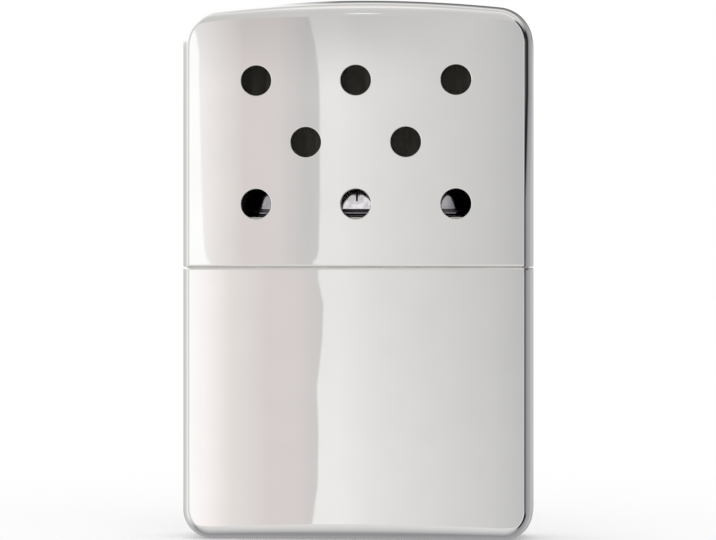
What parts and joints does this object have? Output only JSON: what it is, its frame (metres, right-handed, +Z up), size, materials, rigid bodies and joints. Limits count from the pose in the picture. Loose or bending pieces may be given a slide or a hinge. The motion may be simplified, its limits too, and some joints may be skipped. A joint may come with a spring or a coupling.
{
  "type": "catalytic hand warmer",
  "caption": "Pocket catalytic hand warmer: a rounded plated case whose lower half is a padded fuel tank, with a lift-off lid pierced by air holes over a push-fit burner.",
  "frame": {"origin": "middle of the flat bottom edge on which the case stands", "axes": "+Z up, front face with the air holes towards -Y, +X to the right seen from the front"},
  "size_m": [0.0496, 0.013, 0.0762],
  "materials": {
    "polished_chrome": "polished chrome plate on drawn brass",
    "satin_plate": "satin nickel plate",
    "solder": "soft solder, as flowed",
    "brass_sheet": "bright rolled brass sheet",
    "wire_gauze": "woven steel wire",
    "felt": "pressed felt",
    "wadding": "cotton wadding",
    "burner_steel": "stamped steel, bright",
    "catalyst_fibre": "glass-fibre mat with a grey catalyst"
  },
  "bodies": {
    "tank": {"body_shell": "polished_chrome", "tank_cap": "satin_plate", "tank_solder_ring": "solder", "neck": "brass_sheet", "neck_gauze": "wire_gauze", "neck_felt": "felt", "wadding_front": "wadding", "wadding_core_front": "wadding", "wadding_core_back": "wadding", "wadding_back": "wadding"},
    "burner": {"burner_base": "burner_steel", "burner_hood": "burner_steel", "burner_top_gauze": "wire_gauze", "catalyst_mat": "catalyst_fibre", "burner_lower_gauze": "wire_gauze", "burner_retaining_ring": "burner_steel", "burner_clip_left": "brass_sheet", "burner_clip_right": "brass_sheet"},
    "lid": {"lid_shell": "polished_chrome"}
  },
  "joints": [
    {"name": "lid_lift", "type": "slide", "parent": "tank", "child": "lid", "axis": [0, 0, 1], "range_m": [0, 0.045]},
    {"name": "burner_lift", "type": "slide", "parent": "tank", "child": "burner", "axis": [0, 0, 1], "range_m": [0, 0.012]}
  ]
}
